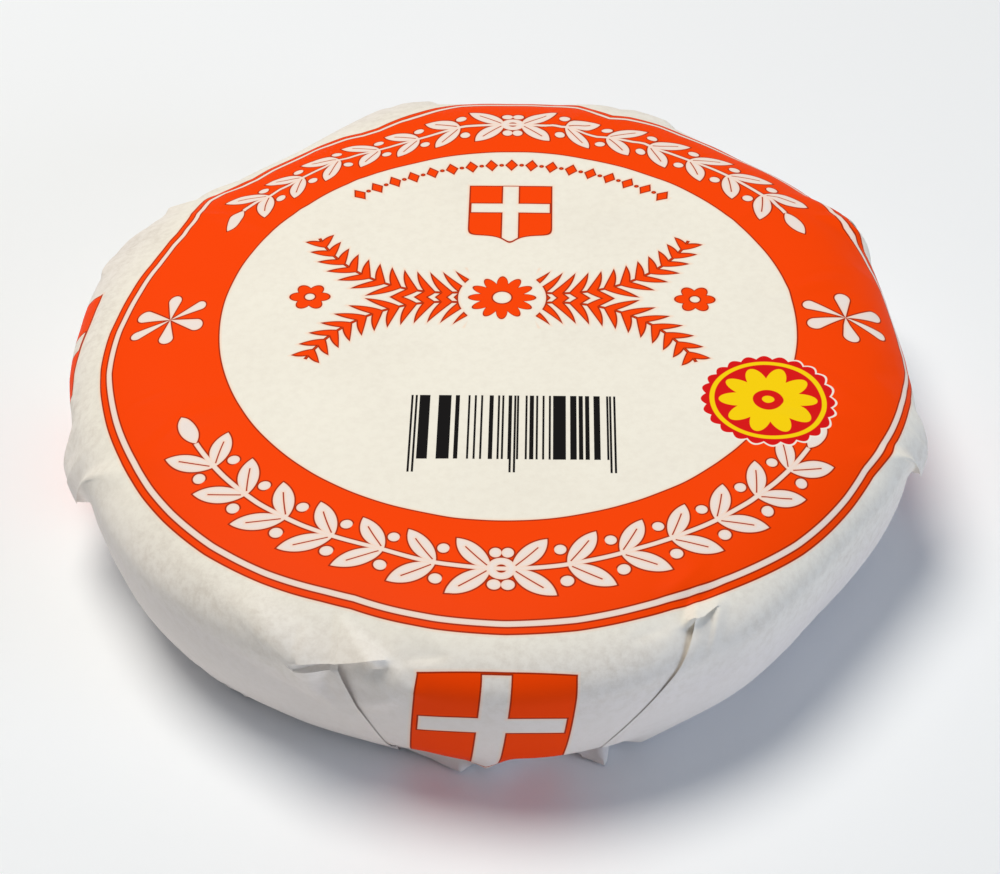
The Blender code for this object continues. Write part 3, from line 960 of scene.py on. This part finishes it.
def garland(x, y):
    """Distance to the laurel garland round the band's upper and lower arcs, the same to both sides."""
    along = compute("ARCTAN2", abs(x), abs(y)) * GARLAND_RADIUS
    side = abs(span(x, y) - GARLAND_RADIUS)
    place = compute("FLOORED_MODULO", along, GARLAND_PITCH)
    leaf_along, leaf_across = from_axes(place - LEAF_ROOT, side, math.radians(LEAF_TURN))
    vein = most(abs(leaf_across) - VEIN_HALF, leaf_along - VEIN_TO, VEIN_FROM - leaf_along)
    leaves = most(leaf(leaf_along, leaf_across, *LEAF), -vein)
    berries = span(place - BERRY_ALONG, side - BERRY_ASIDE) - BERRY
    body = most(least(leaves, berries, side - STEM_HALF), along - GARLAND_END)
    middle = span(along, side)
    knot = most(middle - KNOT, KNOT_HOLE - middle)
    return least(body, leaf(along - GARLAND_END, side, *LAST_LEAF), knot)


def lozenges(x, y):
    """Distance to the row of lozenges and dots along the white field's upper edge."""
    turn = compute("ARCTAN2", x, y)
    place = compute("PINGPONG", turn * LOZENGE_RADIUS, LOZENGE_PITCH / 2)
    height = abs(span(x, y) - LOZENGE_RADIUS)
    lozenge = scaled(place, LOZENGE_HEIGHT / LOZENGE_WIDTH, height - LOZENGE_HEIGHT)
    dot = span(place - LOZENGE_PITCH / 2, height) - LOZENGE_DOT
    beyond = (abs(turn) - math.radians(LOZENGE_SPREAD)) * LOZENGE_RADIUS
    return most(least(lozenge * LOZENGE_SLANT, dot), beyond)


def shield(x, y):
    """Distance to the shield, with a plain cross left white in it."""
    side = abs(x)
    high = y - SHIELD_Y
    below = -SHIELD_FOOT - SHIELD_POINT / (side * side / SHIELD_POINT_WIDTH ** 2 + 1) - high
    body = most(compute("SMOOTH_MAX", side - SHIELD_HALF, below, SHIELD_ROUNDING), high - SHIELD_TOP)
    upright = most(side - SHIELD_UPRIGHT, below + SHIELD_RIM, high - (SHIELD_TOP - SHIELD_TOP_RIM))
    level = most(abs(high - SHIELD_LEVEL_Y) - SHIELD_LEVEL, side - (SHIELD_HALF - SHIELD_RIM))
    return most(body, -least(upright, level))


def spray(x, y):
    """Distance to the middle's ornament: a daisy, four curved branches with tapering leaves, and a small
    flower at each end, the same to both sides and above as below."""
    side = abs(x - SPRAY_X)
    high = abs(y - SPRAY_Y)
    from_x = side - BRANCH_X
    from_y = BRANCH_RISE - high
    out = abs(BRANCH_RADIUS - span(from_x, from_y))
    along = compute("ARCTAN2", from_x, from_y) * BRANCH_RADIUS
    taper = scaled(along, (BRANCH_TIP_LEAF - BRANCH_LEAF) / BRANCH_LENGTH, BRANCH_LEAF)
    cell = compute("PINGPONG", scaled(out, BRANCH_LEAF_SLANT, along), BRANCH_PITCH / 2)
    share = out / taper
    leaves = most(cell - (1 - share * share) * BRANCH_LEAF_HALF, out - taper)
    branch = least(leaves * BRANCH_LEAF_EDGE, out - BRANCH_STEM)
    middle = span(side, high)
    end_x = side - END_FLOWER_X
    end = span(end_x, high)
    branch = most(branch, BRANCH_FROM - along, along - BRANCH_LENGTH, DAISY_GAP - middle, END_GAP - end)
    daisy = most(petal_wheel(x - SPRAY_X, y - SPRAY_Y, *DAISY), DAISY_EYE - middle)
    return least(branch, daisy, most(petal_wheel(end_x, high, *END_FLOWER), END_EYE - end))


def flags(x, y, sizes):
    """Distance to the four flags on the wall, one on each side, each with a plain cross left white."""
    top, width, height = (v / MM for v in (sizes.flag_top, sizes.flag_width, sizes.flag_height))
    down = most(abs(x), abs(y)) - top
    across = least(abs(x + FLAG_ASIDE), abs(y))
    body = most(across - width / 2, -down, down - height)
    upright = most(across - FLAG_UPRIGHT, FLAG_RIM - down, down - (height - FLAG_RIM))
    level = most(abs(down - FLAG_LEVEL_DOWN) - FLAG_LEVEL, across - (width / 2 - FLAG_SIDE_RIM))
    return most(body, -least(upright, level))


def stripes(x, y):
    """1 in the black stripes and 0 elsewhere: bars and gaps of whole modules, drawn by a seeded noise, and
    a pair of longer bars at each end and in the middle."""
    side = x - STRIPES_X
    module = compute("FLOOR", (side + STRIPES_HALF) / STRIPE_MODULE) + STRIPES_SEED
    draw = x.sheet.node("ShaderNodeTexWhiteNoise", {"noise_dimensions": "1D"}, {"W": module})
    bar = Number(x.sheet, draw.outputs["Value"]) < STRIPES_INKED
    guard = least(abs(abs(side) - (STRIPES_HALF - GUARD_HALF)), abs(side)) - GUARD_HALF
    long = guard < 0
    bar = most(bar * (1 - long), (abs(guard + GUARD_INNER) < GUARD_INNER) * long)
    top = y - STRIPES_Y - STRIPES_HEIGHT
    foot = STRIPES_Y - STRIPES_HEIGHT - y - long * STRIPES_LONG
    return bar * (most(top, foot, abs(side) - STRIPES_HALF) < 0)


def rosette(x, y, colour, inks):
    """The colour with the red and yellow rosette painted over it."""
    x, y = x - SEAL_X, y - SEAL_Y
    reach = span(x, y)
    disc = petal_wheel(x, y, *SEAL)
    layers = (
        (disc - SEAL_OUTLINE, inks.paper),
        (disc, inks.red),
        (abs(reach - SEAL_LINE) - SEAL_LINE_HALF, inks.yellow),
        (petal_wheel(x, y, *SEAL_FLOWER), inks.yellow),
        (reach - SEAL_MIDDLE, inks.red),
        (reach - SEAL_DOT, inks.yellow),
    )
    for distance, ink in layers:
        colour = mixed(inked(distance), colour, ink)
    return colour


def print_distance(x, y, sizes):
    """Distance to the orange ink, negative inside it, in millimetres of flat paper."""
    reach = span(x, y)
    radii = sizes.middle_radius, sizes.band_radius, sizes.line_radius, sizes.ring_radius
    middle, band, line, ring = (radius / MM for radius in radii)
    disc = most(middle - reach, reach - ring)
    cream = abs(reach - (band + line) / 2) - (line - band) / 2
    aside = x - FLOWER_X
    way = compute("SIGN", aside)
    beside = FLOWER_PLACE - abs(aside)
    above = scaled(x, -FLOWER_SLOPE, y - FLOWER_Y) + way * beside * FLOWER_SHEAR
    beside = beside - way * above * FLOWER_LEAN
    petals = [teardrops(beside, above, *petal) for petal in PETALS]
    ring_ink = most(disc, -least(cream, *petals, garland(x, y)))
    return least(ring_ink, lozenges(x, y), shield(x, y), spray(x, y), flags(x, y, sizes))


def paper_ground(sheet, place, reach, inks):
    """The bare paper's colour: white with faint cloudy stains, and a fine mottle round the rim where the
    damp rind shows through, strongest where the wall begins. Down the wall it is painted greyer and
    cooler as shade, since the wall gets less of the light from overhead."""
    clouds = scaled(noise(sheet, place, *CLOUDS), *CLOUD_CONTRAST, clamp=True)
    specks = scaled(noise(sheet, place, *SPECKS), *SPECK_CONTRAST, clamp=True)
    rim = least(rise(MOTTLE_FROM, MOTTLE_MOST, reach), rise(MOTTLE_TO, MOTTLE_MOST, reach))
    # Painted shade: the paper greys and cools from the rim's edge down the wall, away from the light
    # overhead.
    paper = mixed(rise(*SHADED_WALL, reach), inks.paper, inks.outer)
    mottle = specks * rim * (clouds + MOTTLE_UNCLOUDED)
    stained = scaled(clouds + specks, STAIN_STRENGTH, mottle * MOTTLE_STRENGTH, clamp=True)
    return mixed(stained, paper, inks.stain)


def paper_material(sizes, inks):
    """The wrap's one material: printed, slightly waxed paper with a fine grain and small crumples."""
    material = bpy.data.materials.new("printed_wrap_paper")
    material.use_nodes = True
    material.node_tree.nodes.clear()
    sheet = Sheet(material.node_tree)
    source = {"attribute_type": "GEOMETRY", "attribute_name": "flat_place"}
    flat = sheet.node("ShaderNodeAttribute", source, {}).outputs["Vector"]
    parts = sheet.node("ShaderNodeSeparateXYZ", {}, {0: flat}).outputs
    x, y, unpulled = (Number(sheet, part) for part in parts)
    place = sheet.node("ShaderNodeTexCoord", {}, {}).outputs["Object"]

    distance = print_distance(x, y, sizes)
    reach = span(x, y)
    colour = paper_ground(sheet, place, reach, inks)
    ring = inked(abs(reach - RING_MIDDLE) - RING_HALF, RING_EDGE)
    colour = mixed(ring * SPARED_STRENGTH, colour, inks.spared)
    colour = mixed(rise(HALO, 0, distance) * HALO_STRENGTH, colour, inks.halo)
    colour = mixed(inked(distance), colour, inks.orange)
    key = inked(abs(distance + KEYLINE_INSIDE) - KEYLINE)
    colour = mixed(key * KEYLINE_STRENGTH, colour, inks.keyline)
    colour = mixed(stripes(x, y), colour, inks.black)
    colour = rosette(x * unpulled, y * unpulled, colour, inks)

    grain = noise(sheet, place, *GRAIN) * GRAIN_HEIGHT
    height = grain + noise(sheet, place, *CRUMPLES) * CRUMPLE_HEIGHT
    relief = {"Strength": 0.35, "Distance": 0.0002, "Height": height}
    bump = sheet.node("ShaderNodeBump", {}, relief).outputs[0]
    surface = {"Base Color": colour, "Roughness": 0.55, "Specular IOR Level": 0.05, "Normal": bump}
    shader = sheet.node("ShaderNodeBsdfPrincipled", {}, surface).outputs[0]
    sheet.node("ShaderNodeOutputMaterial", {}, {"Surface": shader})
    return material


class OBJECT_OT_add_paper_wrap(bpy.types.Operator):
    """Add the cheese's pleated, printed paper wrap"""

    bl_idname = "object.add_paper_wrap"
    bl_label = "Paper Wrap"
    bl_options = {"REGISTER", "UNDO"}

    def execute(self, context):
        scene = context.scene
        sizes = scene.label_sizes
        centre = np.array([sizes.centre_x, sizes.centre_y]) / MM
        mesh = wrap_mesh(*wrap_sheet(scene.wrap_shape, centre))
        mesh.materials.append(paper_material(sizes, scene.print_colours))
        piece = bpy.data.objects.new("paper_wrap", mesh)
        scene.collection.objects.link(piece)
        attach(piece, BODY)
        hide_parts(CAD_NODE)
        return {"FINISHED"}


CAMERA_PLACE = (8.9, -299.6, 278.9)
CAMERA_DOWN = 42.15
CAMERA_ASIDE = -1.45
CAMERA_ROLL = -0.55
LIGHT_SIZE = 0.6
KEY_PLACE = (-0.27, 0.18, 1.05)
FILL_PLACE = (1.08, -0.52, 0.3)


def camera_matrix():
    """The camera's place and axes: rolled, tilted up from straight down, and turned aside."""
    down, aside, roll = (math.radians(v) for v in (CAMERA_DOWN, CAMERA_ASIDE, CAMERA_ROLL))
    tilt = Matrix.Rotation(math.pi / 2 - down, 4, "X")
    axes = Matrix.Rotation(-aside, 4, "Z") @ tilt @ Matrix.Rotation(roll, 4, "Z")
    place = Vector(CAMERA_PLACE) + Vector((*WHEEL_CENTRE, 0))
    return Matrix.Translation(place * MM) @ axes


def add_light(name, power, colour, place):
    light = bpy.data.lights.new(name, "AREA")
    light.energy = power
    light.color = colour[:3]
    light.shape = "DISK"
    light.size = LIGHT_SIZE
    lamp = bpy.data.objects.new(name, light)
    lamp.location = place
    lamp.rotation_euler = (-Vector(place)).to_track_quat("-Z", "Y").to_euler()
    bpy.context.scene.collection.objects.link(lamp)


class SCENE_OT_add_studio(bpy.types.Operator):
    """Add the plain floor, the soft lights and the camera"""

    bl_idname = "scene.add_studio"
    bl_label = "Studio"
    bl_options = {"REGISTER", "UNDO"}

    def execute(self, context):
        scene = context.scene
        settings = scene.studio_settings
        half = settings.floor_size / 2
        mesh = bpy.data.meshes.new("floor")
        corners = [(-half, -half, 0), (half, -half, 0), (half, half, 0), (-half, half, 0)]
        mesh.from_pydata(corners, [], [(0, 1, 2, 3)])
        material = bpy.data.materials.new("pale_floor")
        material.use_nodes = True
        shader = material.node_tree.nodes["Principled BSDF"]
        shader.inputs["Base Color"].default_value = settings.floor_colour
        shader.inputs["Roughness"].default_value = 0.9
        mesh.materials.append(material)
        floor = bpy.data.objects.new("floor", mesh)
        scene.collection.objects.link(floor)

        world = bpy.data.worlds.new("even_light")
        world.use_nodes = True
        background = world.node_tree.nodes["Background"]
        background.inputs["Color"].default_value = settings.sky_colour
        background.inputs["Strength"].default_value = settings.sky
        scene.world = world
        add_light("key_light", settings.key, settings.key_colour, KEY_PLACE)
        add_light("fill_light", settings.fill, settings.fill_colour, FILL_PLACE)

        camera = bpy.data.cameras.new("camera")
        camera.lens = settings.lens
        camera.sensor_fit = "HORIZONTAL"
        camera.clip_start = 0.01
        holder = bpy.data.objects.new("camera", camera)
        holder.matrix_world = camera_matrix()
        scene.collection.objects.link(holder)
        scene.camera = holder
        scene.view_settings.view_transform = "Standard"
        return {"FINISHED"}


class VIEW3D_PT_wrapped_cheese(bpy.types.Panel):
    """Lists the sizes, the colours and the buttons"""

    bl_label = "Wrapped Cheese"
    bl_space_type = "VIEW_3D"
    bl_region_type = "UI"
    bl_category = "Wrapped Cheese"

    def draw(self, context):
        for name in PROPERTY_GROUPS:
            group = getattr(context.scene, name)
            box = self.layout.box()
            box.label(text=group.bl_rna.description)
            for prop in group.bl_rna.properties:
                if prop.identifier not in ("rna_type", "name"):
                    box.prop(group, prop.identifier)
        for operator in OPERATORS:
            self.layout.operator(operator.bl_idname)


PROPERTY_GROUPS = {
    "wrap_shape": WrapShape,
    "label_sizes": LabelSizes,
    "print_colours": PrintColours,
    "studio_settings": StudioSettings,
}
OPERATORS = (OBJECT_OT_add_paper_wrap, SCENE_OT_add_studio)
CLASSES = (*PROPERTY_GROUPS.values(), *OPERATORS, VIEW3D_PT_wrapped_cheese)


def register():
    for item in CLASSES:
        bpy.utils.register_class(item)
    for name, group in PROPERTY_GROUPS.items():
        setattr(bpy.types.Scene, name, PointerProperty(type=group))


def unregister():
    for name in PROPERTY_GROUPS:
        delattr(bpy.types.Scene, name)
    for item in reversed(CLASSES):
        bpy.utils.unregister_class(item)


def main():
    register()
    bpy.ops.object.add_paper_wrap()
    bpy.ops.scene.add_studio()


if __name__ == "__main__":
    main()
